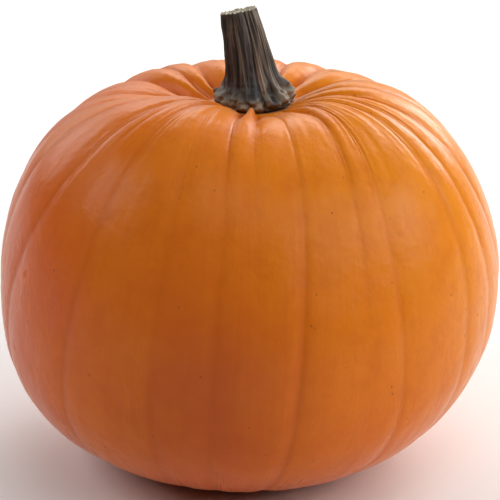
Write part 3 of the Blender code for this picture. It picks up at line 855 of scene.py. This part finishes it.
def stem_material():
    """Dry, weathered pumpkin-stem wood."""
    material, tree, shader = new_material("weathered_stem_wood")
    fibre = add(tree, "ShaderNodeAttribute", attribute_name="fibre").outputs["Vector"]
    marks = {}
    for name in ("furrow", "up", "cut", "pale_and_lit", "slate"):
        marks[name] = add(tree, "ShaderNodeAttribute", attribute_name=name).outputs["Fac"]

    along = add(tree, "ShaderNodeMapping", {"Vector": fibre, "Scale": (1, 1, FIBRE_STRETCH)}).outputs[0]
    noises = {}
    for name, where, size, detail in (
        ("fibres", along, FIBRE_WIDTH * WAVE_SHARE, 3.0),
        ("bands", along, BAND_WIDTH, 2.0),
        ("blotches", fibre, BLOTCH_SIZE, 4.0),
    ):
        inputs = {"Vector": where, "Scale": 1 / size, "Detail": detail}
        noises[name] = add(tree, "ShaderNodeTexNoise", inputs).outputs["Fac"]

    shares = {}
    for name, value, low, high, least, most in (
        ("greyed fibres", noises["fibres"], 0.54, 0.64, 0.0, 1.0),
        # grey fibres follow the ridges' paleness, which holds painted light on the right
        ("greyed ridges", marks["pale_and_lit"], 0.0, 0.9, 0.3, 1.0),
        ("rim", marks["up"], 0.985, 1.0, 0.0, 0.6),
        ("light knuckles", noises["blotches"], 0.40, 0.60, 0.0, 1.0),
        ("light straw", noises["fibres"], 0.35, 0.65, 0.0, 1.0),
    ):
        inputs = {"Value": value, "From Min": low, "From Max": high, "To Min": least, "To Max": most}
        shares[name] = add(tree, "ShaderNodeMapRange", inputs, interpolation_type="SMOOTHSTEP").outputs[0]
    inputs = {0: shares["greyed fibres"], 1: shares["greyed ridges"]}
    greyed_and_lit = add(tree, "ShaderNodeMath", inputs, operation="MULTIPLY").outputs[0]
    inputs = {0: shares["rim"], 1: marks["cut"]}
    cut_end = add(tree, "ShaderNodeMath", inputs, operation="MAXIMUM").outputs[0]
    inputs = {0: shares["light knuckles"], 6: linear("#2e241b"), 7: linear("#a08f79")}
    knuckles = add(tree, "ShaderNodeMix", inputs, data_type="RGBA").outputs[2]
    inputs = {0: shares["light straw"], 6: linear("#85765f"), 7: linear("#ddd4bd")}
    straw = add(tree, "ShaderNodeMix", inputs, data_type="RGBA").outputs[2]

    colour = linear("#261910")
    for value, low, high, most, over, rise in (
        # what the layer follows, where it starts and is full, the most it covers, and its colour
        (noises["bands"], 0.42, 0.60, 1.0, linear("#604a36"), "SMOOTHSTEP"),
        # painted light and shade with the ridges' own tone: paler on the lit right, darker on the left
        (marks["pale_and_lit"], 0.3, 1.0, 0.45, linear("#857462"), "SMOOTHSTEP"),
        (marks["pale_and_lit"], 0.3, 0.0, 0.75, linear("#1d130d"), "SMOOTHSTEP"),
        (marks["slate"], 0.0, 1.0, 0.6, linear("#50555a"), "SMOOTHSTEP"),
        (noises["blotches"], 0.54, 0.66, 0.5, linear("#6b4c26"), "SMOOTHSTEP"),
        (noises["fibres"], 0.49, 0.42, 0.80, linear("#100b09"), "SMOOTHSTEP"),
        # weathered grey fibres, strongest on the pale ridges of the lit right side, so partly painted
        # light
        (greyed_and_lit, 0.0, 1.0, 0.6, linear("#a89a88"), "LINEAR"),
        # painted shade: the furrows are darkened nearly black
        (marks["furrow"], 0.35, 0.9, 0.80, linear("#110b09"), "SMOOTHSTEP"),
        (marks["up"], 0.28, 0.08, 0.6, knuckles, "SMOOTHSTEP"),
        # painted shade: the foot of the collar, where it meets the rind, is darkened nearly black
        (marks["up"], 0.07, 0.0, 0.75, linear("#17100c"), "SMOOTHSTEP"),
        (cut_end, 0.0, 1.0, 1.0, straw, "LINEAR"),
    ):
        inputs = {"Value": value, "From Min": low, "From Max": high, "To Max": most}
        amount = add(tree, "ShaderNodeMapRange", inputs, interpolation_type=rise).outputs[0]
        colour = add(tree, "ShaderNodeMix", {0: amount, 6: colour, 7: over}, data_type="RGBA").outputs[2]

    inputs = {"Height": noises["fibres"], "Distance": 0.6 * MM, "Strength": 0.7}
    bump = add(tree, "ShaderNodeBump", inputs).outputs[0]
    inputs = {"Height": noises["blotches"], "Distance": 0.6 * MM, "Strength": 0.4, "Normal": bump}
    bump = add(tree, "ShaderNodeBump", inputs).outputs[0]
    tree.links.new(colour, shader.inputs["Base Color"])
    tree.links.new(bump, shader.inputs["Normal"])
    shader.inputs["Roughness"].default_value = 0.62
    shader.inputs["IOR"].default_value = 1.5
    return material


stem.data.materials.clear()
stem.data.materials.append(stem_material())
print("stem:", stem.data.materials[0].name)

# %% [markdown]
# ## Floor and light
# The fruit stands on matt white board in a dim studio, and ten soft boxes light it. The strong
# ones stand behind and to the sides, and turn the waxy rim almost white. Few stand on the camera's
# side, which leaves the middle of the fruit deep. One big lamp would be simpler, but it would
# light the ribs flat. The boxes are white, so all the colour comes from the fruit and the board.

# %% Floor
FLOOR_SIZE = 8.0
BOARD_TOOTH = 2.5 * MM


def floor_material():
    """Matt white studio board."""
    material, tree, shader = new_material("matt_white_board")
    place = add(tree, "ShaderNodeTexCoord").outputs["Object"]
    tooth = add(tree, "ShaderNodeTexNoise", {"Vector": place, "Scale": 1 / BOARD_TOOTH}).outputs["Fac"]
    bump = add(tree, "ShaderNodeBump", {"Height": tooth, "Distance": 0.1 * MM, "Strength": 0.2})
    tree.links.new(bump.outputs[0], shader.inputs["Normal"])
    shader.inputs["Base Color"].default_value = linear("#f0f0ef")
    shader.inputs["Roughness"].default_value = 0.75
    return material


deselect_all()
bpy.ops.mesh.primitive_plane_add(size=FLOOR_SIZE, location=(0, 0, 0))
floor = bpy.context.object
floor.name = "floor"
floor.data.materials.append(floor_material())
print("floor:", FLOOR_SIZE, "m square")

# %% World
AMBIENT = 0.02


def dim_studio():
    """A dark studio, so that the soft boxes make nearly all the light."""
    world = bpy.data.worlds.new("studio")
    world.use_nodes = True
    world.node_tree.nodes["Background"].inputs["Color"].default_value = (1, 1, 1, 1)
    world.node_tree.nodes["Background"].inputs["Strength"].default_value = AMBIENT
    return world


bpy.context.scene.world = dim_studio()
print("ambient light:", AMBIENT)

# %% Lights
SOFT_BOXES = {
    # bearing from the camera's side, height above level, distance, width, height, watts
    "right_front_box": (58, 32, 1.7, 1.0, 1.0, 8.2),
    "right_box": (88, 20, 1.6, 0.6, 0.6, 5.6),
    "right_back_box": (142, 22, 1.6, 0.7, 0.9, 13.5),
    "right_high_box": (125, 45, 1.7, 0.8, 0.8, 3.5),
    "back_box": (180, 18, 1.9, 2.0, 0.8, 4.5),
    "back_high_box": (178, 36, 1.7, 1.2, 0.7, 7.5),
    "left_back_box": (222, 22, 1.6, 0.7, 0.9, 4.0),
    "left_box": (278, 38, 1.9, 1.0, 1.0, 11.5),
    "top_box": (150, 80, 1.6, 1.0, 1.0, 1.6),
    "front_high_box": (12, 58, 1.9, 1.0, 1.0, 5.4),
}
LIT_POINT = Vector((0, 0, 0.12))


def soft_box(name, bearing, rise, away, width, height, watts):
    """A soft rectangular light that points at the fruit from this bearing and height."""
    turn, climb = radians(bearing), radians(rise)
    towards = Vector((sin(turn) * cos(climb), -cos(turn) * cos(climb), sin(climb)))
    data = bpy.data.lights.new(name, "AREA")
    data.shape = "RECTANGLE"
    data.size, data.size_y = width, height
    data.energy = watts
    lamp = bpy.data.objects.new(name, data)
    bpy.context.scene.collection.objects.link(lamp)
    lamp.location = LIT_POINT + towards * away
    lamp.rotation_euler = towards.to_track_quat("Z", "Y").to_euler()


for name, numbers in SOFT_BOXES.items():
    soft_box(name, *numbers)
print("soft boxes:", ", ".join(SOFT_BOXES))

# %% End
print("scene built")
